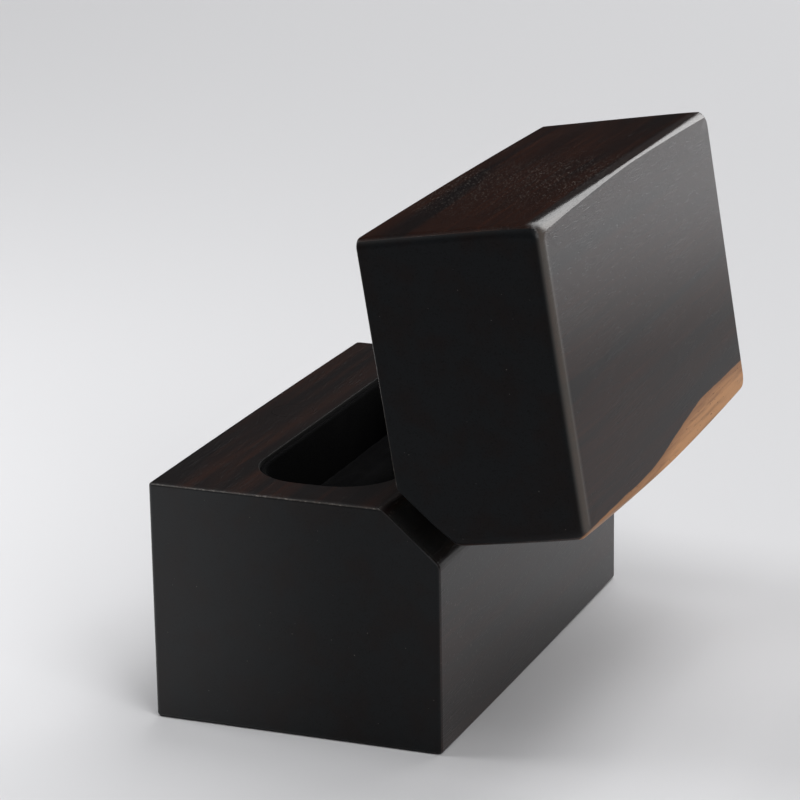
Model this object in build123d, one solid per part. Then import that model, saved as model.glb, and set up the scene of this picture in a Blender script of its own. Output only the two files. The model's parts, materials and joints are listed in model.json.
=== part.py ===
from build123d import *

import math
import os

# Slim ebony ring box. Its hinged lid stands open as far as the hinges let it.
# +X runs along the box and its hinges, +Y points to the hinge side and +Z up.
# The origin is the centre of the base block's underside. All sizes are in millimetres.

# Box blocks
BOX_LENGTH = 50.0
BOX_DEPTH = 28.5
BASE_HEIGHT = 22.7
LID_HEIGHT = 17.2
MATING_GAP = 0.1
CHAMFER_SETBACK = 5.6
CHAMFER_ANGLE = 40.5
EDGE_RADIUS = 0.6
MATING_EDGE_RADIUS = 0.25
CHAMFER_EDGE_RADIUS = 1.2

# Cavities: the front wall and the strip left flat by the chamfer give their width
CAVITY_LENGTH = 41.0
CAVITY_END_FLAT = 2.6
CAVITY_RIM_RADIUS = 0.2
FRONT_WALL = 7.25
BACK_STRIP = 1.85
BASE_CAVITY_DEPTH = 14.0
LID_CAVITY_DEPTH = 14.4

# Velvet linings and ring pad
LINING_THICKNESS = 0.5
LINING_BELOW_RIM = 0.3
GLUE_GAP = 0.05
PAD_BELOW_RIM = 5.0
PAD_SLIT = 1.0
PAD_FIT = 0.1
PAD_CROWN_RADIUS = 0.75

# Closing magnets and the wooden plugs over them
MAGNET_DIAMETER = 4.0
MAGNET_THICKNESS = 2.0
MAGNET_EDGE_RADIUS = 0.15
MAGNET_FIT = 0.05
PLUG_THICKNESS = 0.8
PLUG_FIT = 0.01

# Butt hinges on the chamfers
HINGE_LENGTH = 10.0
HINGE_INSET = 6.0
KNUCKLE_DIAMETER = 2.2
KNUCKLE_CLEARANCE = 0.05
KNUCKLE_END_GAP = 0.05
LEAF_THICKNESS = 0.7
LEAF_WIDTH = 4.8
LEAF_CORNER_RADIUS = 0.5
LEAF_EDGE_RADIUS = 0.1
LEAF_NOTCH_CLEARANCE = 0.15
PIN_DIAMETER = 1.1
PIN_PRESS_FIT = 0.01
PIN_RUNNING_FIT = 0.04
PIN_END_RADIUS = 0.25

# Round-head nails, two to a leaf
NAIL_DIAMETER = 0.9
NAIL_DEPTH = 5.0
NAIL_POINT_LENGTH = 1.0
NAIL_POINT_RADIUS = 0.1
NAIL_HEAD_DIAMETER = 1.7
NAIL_SPACING = 6.0
NAIL_FROM_AXIS = 2.95
NAIL_HOLE_FIT = 0.05
NAIL_PILOT_FIT = 0.01
STOP_GAP = 0.02

# How far a cutting shape runs past the face it cuts, and how near counts as touching
OVERCUT = 1.0
TOUCH = 1e-6

# Worked out from the sizes above. Each half of the box is first made as a base: its
# mating face is up, at MATING_Z, and z = 0 is the height of the hinge axis.
CHAMFER = math.radians(CHAMFER_ANGLE)
CHAMFER_DROP = CHAMFER_SETBACK * math.tan(CHAMFER)
CHAMFER_INNER_Y = BOX_DEPTH / 2 - CHAMFER_SETBACK
CAVITY_FRONT_Y = FRONT_WALL - BOX_DEPTH / 2
CAVITY_BACK_Y = CHAMFER_INNER_Y - BACK_STRIP
CAVITY_WIDTH = CAVITY_BACK_Y - CAVITY_FRONT_Y
CAVITY_CENTRE_Y = (CAVITY_BACK_Y + CAVITY_FRONT_Y) / 2
CAVITY_CORNER_RADIUS = (CAVITY_WIDTH - CAVITY_END_FLAT) / 2
MATING_Z = -MATING_GAP / 2
KNUCKLE_RADIUS = KNUCKLE_DIAMETER / 2
KNUCKLE_LENGTH = (HINGE_LENGTH - 2 * KNUCKLE_END_GAP) / 3
STANDOFF = KNUCKLE_RADIUS + KNUCKLE_CLEARANCE
HINGE_Y = CHAMFER_INNER_Y + (STANDOFF + MATING_Z * math.cos(CHAMFER)) / math.sin(CHAMFER)
HINGE_Z = BASE_HEIGHT - MATING_Z
HINGE_X = (BOX_LENGTH - HINGE_LENGTH) / 2 - HINGE_INSET
HINGE_CENTRES = {"left": -HINGE_X, "right": HINGE_X}
OPEN_ANGLE = 2 * CHAMFER_ANGLE
NAIL_HEAD_HEIGHT = STANDOFF - LEAF_THICKNESS - STOP_GAP / 2
MAGNET_Y = (CAVITY_FRONT_Y - BOX_DEPTH / 2) / 2
MAGNET_HOLE_RADIUS = MAGNET_DIAMETER / 2 + MAGNET_FIT
MAGNET_HOLE_DEPTH = MAGNET_THICKNESS + PLUG_THICKNESS

# The hinge plane has its origin on the hinge axis, its x down the chamfer, away from the
# mating face, its y square to the chamfer, out of the wood, and its z along the axis.
HINGE_PLANE = Plane(
    origin=(0, HINGE_Y, 0),
    x_dir=(0, math.cos(CHAMFER), -math.sin(CHAMFER)),
    z_dir=(1, 0, 0),
)
STANDING = (Align.CENTER, Align.CENTER, Align.MIN)
HANGING = (Align.CENTER, Align.CENTER, Align.MAX)


def cavity_bar(inset, bottom, top):
    """An upright bar with the cavity's outline, drawn in all round by the inset."""
    outline = RectangleRounded(
        CAVITY_LENGTH - 2 * inset,
        CAVITY_WIDTH - 2 * inset,
        CAVITY_CORNER_RADIUS - inset,
    )
    return Pos(0, CAVITY_CENTRE_Y, bottom) * extrude(outline, top - bottom)


def nail_stand(x):
    """Where a nail made along +Z, head up, stands on the chamfer: z = 0 is the wood's face."""
    return HINGE_PLANE * Pos(NAIL_FROM_AXIS, -STANDOFF, x) * Rot(-90, 0, 0)


def leaf_nail_places(x):
    """The places along X of the two nails of a leaf whose middle is at x."""
    return [x - NAIL_SPACING / 2, x + NAIL_SPACING / 2]


def rounded_block(height):
    """The outer form of a half: a bar with a chamfered back edge, sanded round."""
    back, bottom = BOX_DEPTH / 2, MATING_Z - height
    outline = Polyline(
        (-back, bottom),
        (back, bottom),
        (back, MATING_Z - CHAMFER_DROP),
        (CHAMFER_INNER_Y, MATING_Z),
        (-back, MATING_Z),
        close=True,
    )
    block = extrude(Plane.YZ * make_face(outline), BOX_LENGTH / 2, both=True)

    long_edges = block.edges().filter_by(Axis.X)
    chamfer_edges = long_edges.filter_by_position(Axis.Y, CHAMFER_INNER_Y - TOUCH, back + TOUCH)
    top, drop = MATING_Z + TOUCH, CHAMFER_DROP + 2 * TOUCH
    chamfer_edges = chamfer_edges.filter_by_position(Axis.Z, top - drop, top)
    block = fillet(chamfer_edges, CHAMFER_EDGE_RADIUS)

    end_edges = block.faces().filter_by(Axis.X).edges()
    under_edges = block.faces().sort_by(Axis.Z)[0].edges().filter_by(Axis.X)
    outer_edges = end_edges.filter_by(lambda edge: edge.center().Z < MATING_Z - TOUCH) + under_edges
    block = fillet(outer_edges, EDGE_RADIUS)

    mating_edges = block.faces().sort_by(Axis.Z)[-1].edges().sort_by(Axis.Y)[:-1]
    return fillet(mating_edges, MATING_EDGE_RADIUS)


def wood_block(height, cavity_depth):
    """One half of the box: its block with the cavity, the magnet's hole and the nails' pilots."""
    block = rounded_block(height)
    block -= cavity_bar(0, MATING_Z - cavity_depth, MATING_Z + OVERCUT)
    rim = block.faces().sort_by(Axis.Z)[-1].inner_wires()[0]
    block = fillet(rim.edges(), CAVITY_RIM_RADIUS)
    block -= Pos(0, MAGNET_Y, MATING_Z) * Cylinder(MAGNET_HOLE_RADIUS, MAGNET_HOLE_DEPTH, align=HANGING)
    pilot = Cylinder(NAIL_DIAMETER / 2 + NAIL_PILOT_FIT, NAIL_DEPTH, align=HANGING)
    for centre in HINGE_CENTRES.values():
        for x in leaf_nail_places(centre):
            block -= nail_stand(x) * pilot
    return block


def floor_lining(cavity_depth):
    """The piece of velvet glued to the cavity's floor."""
    floor = MATING_Z - cavity_depth
    return cavity_bar(GLUE_GAP, floor, floor + LINING_THICKNESS)


def wall_lining(cavity_depth):
    """The strip of velvet glued round the cavity's wall, standing on the floor's piece."""
    bottom, top = MATING_Z - cavity_depth + LINING_THICKNESS, MATING_Z - LINING_BELOW_RIM
    inside = cavity_bar(GLUE_GAP + LINING_THICKNESS, bottom - OVERCUT, top + OVERCUT)
    return cavity_bar(GLUE_GAP, bottom, top) - inside


def ring_pad(side):
    """Half of the foam pad, with a crowned top: side is -1 for the front half, 1 for the back."""
    bottom, top = MATING_Z - BASE_CAVITY_DEPTH + LINING_THICKNESS, MATING_Z - PAD_BELOW_RIM
    whole = cavity_bar(GLUE_GAP + LINING_THICKNESS + PAD_FIT, bottom, top)
    kept_y = CAVITY_CENTRE_Y + side * (PAD_SLIT + CAVITY_WIDTH) / 2
    half = whole & Pos(0, kept_y, 0) * Box(CAVITY_LENGTH, CAVITY_WIDTH, 2 * BASE_HEIGHT)
    return fillet(half.faces().sort_by(Axis.Z)[-1].edges(), PAD_CROWN_RADIUS)


def magnet():
    """The disc magnet at the bottom of its hole."""
    disc = Cylinder(MAGNET_DIAMETER / 2, MAGNET_THICKNESS, align=STANDING)
    disc = fillet(disc.edges().filter_by(GeomType.CIRCLE), MAGNET_EDGE_RADIUS)
    return Pos(0, MAGNET_Y, MATING_Z - MAGNET_HOLE_DEPTH) * disc


def magnet_plug():
    """The wooden disc over the magnet, flush with the mating face."""
    disc = Cylinder(MAGNET_HOLE_RADIUS - PLUG_FIT, PLUG_THICKNESS, align=HANGING)
    return Pos(0, MAGNET_Y, MATING_Z) * disc


def knuckle_spans(outer):
    """Where a leaf's own knuckles start and end along the hinge, from its middle."""
    end, middle = HINGE_LENGTH / 2, KNUCKLE_LENGTH / 2
    if outer:
        return [(-end, KNUCKLE_LENGTH - end), (end - KNUCKLE_LENGTH, end)]
    return [(-middle, middle)]


def notch_spans(outer):
    """Where a leaf's plate is cut back for the other leaf's knuckles."""
    spans = knuckle_spans(not outer)
    return [(low - KNUCKLE_END_GAP, high + KNUCKLE_END_GAP) for low, high in spans]


def hinge_leaf(x, outer):
    """A leaf flat on its chamfer, with the two outer knuckles or the one in the middle."""
    plate = Pos(LEAF_WIDTH / 2, 0, 0) * Box(LEAF_WIDTH, LEAF_THICKNESS, HINGE_LENGTH)
    corners = plate.faces().sort_by(Axis.X)[-1].edges().filter_by(Axis.Y)
    plate = fillet(corners, LEAF_CORNER_RADIUS)
    upper_edges = plate.faces().sort_by(Axis.Y)[-1].edges().filter_by_position(Axis.X, TOUCH, LEAF_WIDTH)
    leaf = Pos(0, LEAF_THICKNESS / 2 - STANDOFF, 0) * fillet(upper_edges, LEAF_EDGE_RADIUS)
    notch_depth = KNUCKLE_RADIUS + LEAF_NOTCH_CLEARANCE
    for low, high in notch_spans(outer):
        leaf -= Pos(0, -STANDOFF, (low + high) / 2) * Box(2 * notch_depth, 2 * STANDOFF, high - low)
    for low, high in knuckle_spans(outer):
        leaf += Pos(0, 0, (low + high) / 2) * Cylinder(KNUCKLE_RADIUS, high - low)
    pin_fit = PIN_PRESS_FIT if outer else PIN_RUNNING_FIT
    leaf -= Cylinder(PIN_DIAMETER / 2 + pin_fit, HINGE_LENGTH + OVERCUT)
    leaf = HINGE_PLANE * Pos(0, 0, x) * leaf
    hole = Cylinder(NAIL_DIAMETER / 2 + NAIL_HOLE_FIT, 2 * LEAF_THICKNESS + OVERCUT)
    for place in leaf_nail_places(x):
        leaf -= nail_stand(place) * hole
    return leaf


def hinge_pin(x):
    """The pin through a hinge's three knuckles."""
    pin = Cylinder(PIN_DIAMETER / 2, HINGE_LENGTH)
    pin = fillet(pin.edges().filter_by(GeomType.CIRCLE), PIN_END_RADIUS)
    return HINGE_PLANE * Pos(0, 0, x) * pin


def nail():
    """A round-head nail along Z: z = 0 is the wood's face, and the head lies on the leaf."""
    ball_radius = ((NAIL_HEAD_DIAMETER / 2) ** 2 + NAIL_HEAD_HEIGHT**2) / (2 * NAIL_HEAD_HEIGHT)
    ball = Pos(0, 0, LEAF_THICKNESS + NAIL_HEAD_HEIGHT - ball_radius) * Sphere(ball_radius)
    head = ball & Pos(0, 0, LEAF_THICKNESS) * Cylinder(NAIL_HEAD_DIAMETER, 2 * ball_radius, align=STANDING)
    shank_end = NAIL_POINT_LENGTH - NAIL_DEPTH
    shank = Pos(0, 0, shank_end) * Cylinder(NAIL_DIAMETER / 2, LEAF_THICKNESS - shank_end, align=STANDING)
    point = Cone(NAIL_POINT_RADIUS, NAIL_DIAMETER / 2, NAIL_POINT_LENGTH, align=STANDING)
    return head + shank + Pos(0, 0, -NAIL_DEPTH) * point


def leaf_nails(x):
    """The two nails of the leaf whose middle is at x."""
    first, second = leaf_nail_places(x)
    return nail_stand(first) * nail() + nail_stand(second) * nail()


def to_base(piece):
    """Sets a half's piece in the base."""
    return Pos(0, 0, HINGE_Z) * piece


def to_lid(piece):
    """Turns a half's piece over, as the shut lid has it, and opens it about the hinge axis."""
    shut = Rot(0, 180, 0) * piece
    return Pos(0, HINGE_Y, HINGE_Z) * Rot(-OPEN_ANGLE, 0, 0) * Pos(0, -HINGE_Y, 0) * shut


def box_nodes():
    """The wooden blocks, their linings, the ring pad and the magnets."""
    return {
        "base_block": to_base(wood_block(BASE_HEIGHT, BASE_CAVITY_DEPTH)),
        "base_floor_lining": to_base(floor_lining(BASE_CAVITY_DEPTH)),
        "base_wall_lining": to_base(wall_lining(BASE_CAVITY_DEPTH)),
        "ring_pad_front": to_base(ring_pad(-1)),
        "ring_pad_back": to_base(ring_pad(1)),
        "base_magnet": to_base(magnet()),
        "base_magnet_plug": to_base(magnet_plug()),
        "lid_block": to_lid(wood_block(LID_HEIGHT, LID_CAVITY_DEPTH)),
        "lid_floor_lining": to_lid(floor_lining(LID_CAVITY_DEPTH)),
        "lid_wall_lining": to_lid(wall_lining(LID_CAVITY_DEPTH)),
        "lid_magnet": to_lid(magnet()),
        "lid_magnet_plug": to_lid(magnet_plug()),
    }


def hinge_nodes(side, x):
    """One hinge with its nails. A piece at -x comes to x when the lid's half is turned over."""
    return {
        side + "_hinge_base_leaf": to_base(hinge_leaf(x, outer=True)),
        side + "_hinge_base_nails": to_base(leaf_nails(x)),
        side + "_hinge_pin": to_base(hinge_pin(x)),
        side + "_hinge_lid_leaf": to_lid(hinge_leaf(-x, outer=False)),
        side + "_hinge_lid_nails": to_lid(leaf_nails(-x)),
    }


nodes = box_nodes()
for side, x in HINGE_CENTRES.items():
    nodes.update(hinge_nodes(side, x))

os.makedirs("parts", exist_ok=True)
for name, shape in nodes.items():
    export_step(shape, "parts/" + name + ".step")
print("hinge axis at y", round(HINGE_Y, 4), "z", round(HINGE_Z, 4), "open angle", OPEN_ANGLE)
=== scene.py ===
"""Slim ebony box with a velvet-lined recess and an open lid: the finished look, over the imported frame."""
import json
import math

import bmesh
import bpy
from bpy.props import FloatProperty, FloatVectorProperty, PointerProperty
from mathutils import Matrix, Vector, noise


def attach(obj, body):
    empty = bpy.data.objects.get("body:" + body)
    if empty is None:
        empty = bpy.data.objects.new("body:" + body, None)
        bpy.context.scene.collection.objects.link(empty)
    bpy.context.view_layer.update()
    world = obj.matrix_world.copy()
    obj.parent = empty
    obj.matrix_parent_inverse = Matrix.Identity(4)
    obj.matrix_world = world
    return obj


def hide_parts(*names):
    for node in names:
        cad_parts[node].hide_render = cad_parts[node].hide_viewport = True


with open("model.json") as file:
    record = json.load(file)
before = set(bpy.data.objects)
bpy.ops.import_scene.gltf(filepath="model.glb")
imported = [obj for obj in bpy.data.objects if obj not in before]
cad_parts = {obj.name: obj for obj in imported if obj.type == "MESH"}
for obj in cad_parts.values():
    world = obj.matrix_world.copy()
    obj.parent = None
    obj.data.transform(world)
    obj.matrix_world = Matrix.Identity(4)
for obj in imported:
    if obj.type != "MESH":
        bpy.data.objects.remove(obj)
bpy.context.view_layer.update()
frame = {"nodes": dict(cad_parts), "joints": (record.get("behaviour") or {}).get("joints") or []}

bl_info = {
    "name": "Ebony Box",
    "version": (1, 0, 0),
    "blender": (4, 5, 0),
    "location": "3D View > Sidebar > Ebony Box",
    "description": "Builds a small hinged ebony box with velvet linings and a slotted foam pad",
    "category": "Add Mesh",
}

MM = 0.001

# The hinge, and where each half of the box stands. In its own frame a half is shown like the base: its
# mating face is up, x runs along the box, the hinges are towards +y and z = 0 is the height of the hinge
# axis. The lid is turned over in its frame, so its near end is at -x there.
HINGE = frame["joints"][0]
HINGE_PLACE = Vector(HINGE["pos_m"])
OPEN_ANGLE = math.radians(HINGE["range_deg"][1])
CHAMFER_ANGLE = OPEN_ANGLE / 2
TO_AXIS = Matrix.Translation((0, HINGE_PLACE.y, 0))
OPENED = TO_AXIS @ Matrix.Rotation(-OPEN_ANGLE, 4, "X") @ TO_AXIS.inverted()
TURNED_OVER = Matrix.Rotation(math.pi, 4, "Y")
HALVES = {
    "base": Matrix.Translation((0, 0, HINGE_PLACE.z)),
    "lid": Matrix.Translation((0, 0, HINGE_PLACE.z)) @ OPENED @ TURNED_OVER,
}


def half_box(node, half):
    """The lowest and highest corners of a CAD node in the frame of its half, in millimetres."""
    to_half = HALVES[half].inverted()
    points = [to_half @ vertex.co / MM for vertex in frame["nodes"][node].data.vertices]
    return [Vector(pick(p[i] for p in points) for i in range(3)) for pick in (min, max)]


BLOCKS = {half: half_box(half + "_block", half) for half in HALVES}
FLOORS = {half: half_box(half + "_floor_lining", half) for half in HALVES}
WALLS = {half: half_box(half + "_wall_lining", half) for half in HALVES}
PLUGS = {half: half_box(half + "_magnet_plug", half) for half in HALVES}

# Lengths are in millimetres from here on, unless a comment says otherwise.

# Where each half's figure lies in the plank, and how strong a figure has to be to show brown: the lid is
# browner.
FIGURE_OFFSETS = {"base": (0, 0, 0), "lid": (0, 61, 17)}
BROWN_MARKS = {"base": (0.42, 0.64), "lid": (0.34, 0.56)}

# How strongly the sanding marks stand out, and how the oiled wood reflects. The lid is duller, but for its
# coat.
RELIEF = {"base": 0.5, "lid": 0.4}
LONG_GRAIN_SPECULAR = {"base": 0.2, "lid": 0.05}
END_GRAIN_SPECULAR = {"base": 0.2, "lid": 0.12}
END_COAT_ROUGHNESS = {"base": 0.5, "lid": 0.3}

# A rounded edge is a quarter circle at a roundness of 2 and a flat bevel at 1. The lid's outer long edges
# are sanded to something between the two.
QUARTER_CIRCLE = 2.0
LID_LONG_EDGE_ROUNDNESS = 1.3

# Corners are rounded a little wider than the edges that meet there. A chamfered back narrows them by this
# share.
CORNER_WIDTH = 1.05
CHAMFERED_CORNER = 0.55

# The magnets' holes are this much wider than their plugs, and edges sharper than this stay sharp in the
# shading.
HOLE_FIT = 0.01
SHARP_ANGLE = math.radians(35)

# The wall lining's seam: where it is along the box, and how far it sinks
SEAM_PLACE = 6.0
SEAM_DEPTH = 0.3

# How far velvet and foam lie out of true, and over what length. The vector noise that moves them starts from
# the clock unless it is given a seed, so the seed keeps it the same in each run.
VELVET_UNEVENNESS = (0.04, 2.5)
FOAM_UNEVENNESS = (0.05, 1.8)
UNEVENNESS_SEED = 5

# The rounding of the pad's edge along the slit, and the dip worn into the middle of its top
SLIT_EDGE = 0.7
DIP_DEPTH = 0.25
DIP_HALF_LENGTH = 7.0

# How finely the skins are drawn
CORNER_STEPS = 12
LONG_STEPS = 40
SHORT_STEPS = 24
EDGE_STEPS = 8
FACE_LOOPS = 8
FLOOR_LOOPS = 3
PAD_STEPS = 8
LINING_STEPS = 10

# The floor's reach each way in metres, and the camera's film width in millimetres
FLOOR_REACH = 4.0
FILM_WIDTH = 36.0


def linear(code):
    """An sRGB hex colour as linear red, green and blue, and an alpha of 1."""
    parts = [int(code[i:i + 2], 16) / 255 for i in (1, 3, 5)]
    return [c / 12.92 if c <= 0.04045 else ((c + 0.055) / 1.055) ** 2.4 for c in parts] + [1.0]


def length(label, millimetres, description):
    """A length that a user can change."""
    return FloatProperty(
        name=label, description=description, default=millimetres * MM, min=0.0, precision=5, unit="LENGTH"
    )


def colour(label, code, description):
    """A colour that a user can change."""
    return FloatVectorProperty(
        name=label, description=description, default=linear(code), size=4, min=0.0, max=1.0, subtype="COLOR"
    )


class WoodSizes(bpy.types.PropertyGroup):
    """How the ebony blocks are sanded."""

    base_edge: length("Base edge radius", 0.4, "Rounding of the base's outer edges")
    lid_edge: length("Lid edge radius", 0.95, "Rounding of the lid's outer edges")
    lid_edge_near: length("Lid long edge, near end", 1.0, "Rounding of its long edges at their near end")
    lid_edge_far: length("Lid long edge, far end", 0.65, "Rounding of the same edges at their far end")
    lid_edge_middle: length("Lid long edge, middle", 0.22, "Rounding of the same edges halfway along")
    lid_corner: length("Lid corner radius", 1.6, "Rounding of the lid's outer corners, seen from above")
    mating_edge: length("Mating edge radius", 0.25, "Rounding round the mating faces")
    chamfer_edge: length("Chamfer edge radius", 1.2, "Rounding of the chamfer's two long edges")
    chamfer_setback: length("Chamfer setback", 5.6, "How far the chamfer cuts into the mating face")
    rim: length("Cavity rim radius", 0.12, "Rounding of the cavity's rim")
    cavity_corner: length("Cavity corner radius", 5.6, "Radius of the cavity's corners")
    crown: length("Sanding crown", 0.13, "How much lower the ends of a long face lie than its middle")
    glue_gap: length("Glue gap", 0.05, "Glue between the wood and the linings")


class WoodColours(bpy.types.PropertyGroup):
    """The ebony's colours."""

    heart: colour("Heartwood", "#130f0f", "The black of the heartwood")
    brown: colour("Brown streaks", "#24140f", "Broad streaks along the grain")
    red: colour("Red streaks", "#301a12", "Narrow reddish streaks along the grain")
    # This dark colour also paints the shade in the gap between the chamfers and round the cavity's rim.
    pore_and_shade: colour("Open pores", "#050404", "Short dark pores, and wood left without oil")
    end: colour("End grain", "#111315", "The ends, which soak up more oil")
    # This pale colour also paints highlights, along the mating face's edges and on the lid's near outer
    # edges.
    dust_and_highlight: colour("Dust in the pores", "#857f78", "Pale sanding dust left in open pores")
    sapwood: colour("Sapwood", "#bd8858", "The pale wood from under the bark")
    sapwood_dark: colour("Sapwood streaks", "#6d4527", "Darker streaks and pores in the sapwood")


class SoftLook(bpy.types.PropertyGroup):
    """Sizes and colours of the velvet and the foam."""

    lip: length("Lining lip radius", 0.2, "Rounding of the lining's cut edge under its pile")
    seam: length("Seam width", 0.5, "Width of the joint where the wall lining's ends meet")
    pad_crown: length("Pad crown radius", 1.9, "Rounding of the pad's top edges")
    pad_swell: length("Pad swell", 0.3, "How far each half of the pad bulges into the slit")
    velvet: colour("Velvet", "#020203", "Black cotton pile")
    velvet_tips: colour("Velvet tips", "#050506", "The pile where it is brushed up")
    velvet_sheen: colour("Velvet sheen", "#2c2c30", "Light caught by the tips of the pile")
    flock: colour("Flock", "#060607", "Black flock on the foam pad")
    flock_tips: colour("Flock tips", "#0c0c0d", "The flock where it stands thinner")


class MetalColours(bpy.types.PropertyGroup):
    """Colours of the hinges, nails and magnets."""

    brass: colour("Brass", "#c9a25c", "Stamped brass of the hinge leaves")
    brass_dull: colour("Dull brass", "#8d6a36", "Brass where it has tarnished")
    nickel: colour("Nickel", "#c8c2b6", "Nickel plate on the magnets")


class StudioSettings(bpy.types.PropertyGroup):
    """The camera, the lamps and the floor."""

    azimuth: FloatProperty(
        name="Azimuth", description="Camera's turn about Z", default=math.radians(111.819), subtype="ANGLE"
    )
    elevation: FloatProperty(
        name="Elevation", description="Camera's height angle", default=math.radians(16.668), subtype="ANGLE"
    )
    roll: FloatProperty(
        name="Roll", description="Camera's lean", default=math.radians(-0.922), subtype="ANGLE"
    )
    distance: length("Distance", 318.12, "From the camera to the aim point")
    aim_height: length("Aim height", 15.0, "Height of the aim point before the pan")
    pan_right: length("Pan right", 0.425, "How far the camera is moved to its right")
    pan_up: length("Pan up", 9.387, "How far the camera is moved upwards")
    lens: FloatProperty(name="Lens", description="Focal length in millimetres", default=148.5, min=1.0)
    floor: colour("Floor", "#dddddf", "Pale card that the box stands on")
    surround: colour("Surround", "#1e1f21", "Dim light from beyond the floor")


SOFT = {"interpolation_type": "SMOOTHSTEP"}


def add_node(tree, kind, inputs=(), **settings):
    """Adds a shader node with its settings and links. Its inputs come in the sockets' order, or by their
    keys: each is a value, a socket, or a node whose first live output is the one meant."""
    node = tree.nodes.new("ShaderNode" + kind)
    for key, value in settings.items():
        setattr(node, key, value)
    for key, value in inputs.items() if isinstance(inputs, dict) else enumerate(inputs):
        if isinstance(value, bpy.types.Node):
            value = next(output for output in value.outputs if output.enabled)
        if isinstance(value, bpy.types.NodeSocket):
            tree.links.new(value, node.inputs[key])
        else:
            node.inputs[key].default_value = value
    return node


def new_material(name):
    """An empty node material and its tree."""
    material = bpy.data.materials.new(name)
    material.use_nodes = True
    material.node_tree.nodes.clear()
    return material, material.node_tree


def millimetres(tree, half=None):
    """Places on a piece in millimetres, in the frame of its half if one is named."""
    to_half = HALVES[half].inverted() if half else Matrix()
    return add_node(
        tree,
        "Mapping",
        {
            "Vector": add_node(tree, "TexCoord").outputs["Object"],
            "Location": to_half.translation / MM,
            "Rotation": to_half.to_euler(),
            "Scale": (1 / MM, 1 / MM, 1 / MM),
        },
    )


def grains(tree, place, along, across, marks=None, detail=3.0, bend=0.0):
    """A figure whose grains are that long along the wood and that wide across it, in millimetres. With marks
    it is 0 where the figure is fainter than the first mark and 1 where it is stronger than the second."""
    squeeze = (1 / along, 1 / across, 1 / across)
    squeezed = add_node(tree, "VectorMath", (place, squeeze), operation="MULTIPLY")
    drawn = {"Vector": squeezed, "Scale": 1.0, "Detail": detail, "Roughness": 0.55, "Distortion": bend}
    figure = add_node(tree, "TexNoise", drawn)
    return add_node(tree, "MapRange", (figure, *marks), **SOFT) if marks else figure


def stained(tree, ground, *stains):
    """A ground colour with others laid over it in turn, each as strongly as its share says."""
    for share, tint in stains:
        ground = add_node(tree, "Mix", {0: share, 6: ground, 7: tint}, data_type="RGBA")
    return ground


# The sapwood is a wedge in the lid's outer back corner. It reaches this far along the outer face at its near
# and far ends, widens between these places along the box, and goes this much deeper into the back face.
SAPWOOD_WIDTHS = (1.1, 3.2)
SAPWOOD_WIDENS = (-9.0, 13.0)
SAPWOOD_ON_BACK = 1.4
SAPWOOD_WAVE = 0.5


def sapwood_depth(tree, here):
    """How far inside the sapwood's wavy border a point of the lid lies, in millimetres."""
    low, high = BLOCKS["lid"]
    along = add_node(tree, "SeparateXYZ", (here,)).outputs["X"]
    corner = low.z / SAPWOOD_ON_BACK - high.y + SAPWOOD_WAVE / 2
    widths = [width + corner for width in SAPWOOD_WIDTHS]
    width = add_node(tree, "MapRange", (along, *SAPWOOD_WIDENS, *widths), **SOFT)
    slant = add_node(tree, "VectorMath", (here, (0, 1, -1 / SAPWOOD_ON_BACK)), operation="DOT_PRODUCT")
    inside = add_node(tree, "Math", (slant, width), operation="ADD")
    wave = grains(tree, here, 7.0, 3.0, detail=4.0)
    return add_node(tree, "Math", (wave, -SAPWOOD_WAVE, inside), operation="MULTIPLY_ADD")


def with_sapwood(tree, wood, here, place, colours):
    """Lays the sapwood over the lid's wood: tan, browner by its border, with soft streaks and pores."""
    depth = sapwood_depth(tree, here)
    streaks = grains(tree, place, 9.0, 0.5, (0.4, 0.9))
    border = add_node(tree, "MapRange", (depth, 1.2, 0.0, 0.0, 0.55), **SOFT)
    pores = grains(tree, place, 0.8, 0.16, (0.66, 0.78), detail=1.0)
    browner = [(share, colours.sapwood_dark) for share in (streaks, border, pores)]
    shade = stained(tree, colours.sapwood, *browner)
    return stained(tree, wood, (add_node(tree, "MapRange", (depth, -0.06, 0.08), **SOFT), shade))


# On the lid's outer face the shine is faint by the back and full by the front, between these places, which
# slant along the box. The base's back and the edges at the ends shine this much.
SHINE_FADES = (5.0, -12.0, 0.17, 1.0)
SHINE_SLANT = -0.13
SHINE_OF_BACK = 0.25
SHINE_OF_EDGES = 0.5


def rubbed_share(tree, here, half):
    """Where the oil has been rubbed to a shine: the base's back, the lid's outer face towards its front
    edge, and the edges at the ends of both."""
    low, high = BLOCKS[half]
    axes = add_node(tree, "SeparateXYZ", (here,)).outputs
    from_middle = add_node(tree, "Math", (axes["X"],), operation="ABSOLUTE")
    edges = (from_middle, high.x - 0.8, high.x - 0.2, 0.0, SHINE_OF_EDGES)
    edges = add_node(tree, "MapRange", edges, **SOFT)
    if half == "base":
        rubbed = (axes["Y"], high.y - 0.6, high.y - 0.1, 0.0, SHINE_OF_BACK)
        rubbed = add_node(tree, "MapRange", rubbed, **SOFT)
    else:
        outer = add_node(tree, "MapRange", (axes["Z"], low.z + 1.8, low.z + 1.1), **SOFT)
        slanting = add_node(tree, "Math", (axes["X"], SHINE_SLANT, axes["Y"]), operation="MULTIPLY_ADD")
        to_front = add_node(tree, "MapRange", (slanting, *SHINE_FADES), **SOFT)
        rubbed = add_node(tree, "Math", (outer, to_front), operation="MULTIPLY")
    return add_node(tree, "Math", (rubbed, edges), operation="MAXIMUM")


# The pale line lies this far inside the corner of the mating face's edges. It is a painted highlight at this
# least share all along, and crumbs of sanding dust make it this much stronger in places.
ARRIS = (0.17, 0.15)
ARRIS_HIGHLIGHT_LEAST = 0.12
CRUMBS_MORE = 0.5


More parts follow.
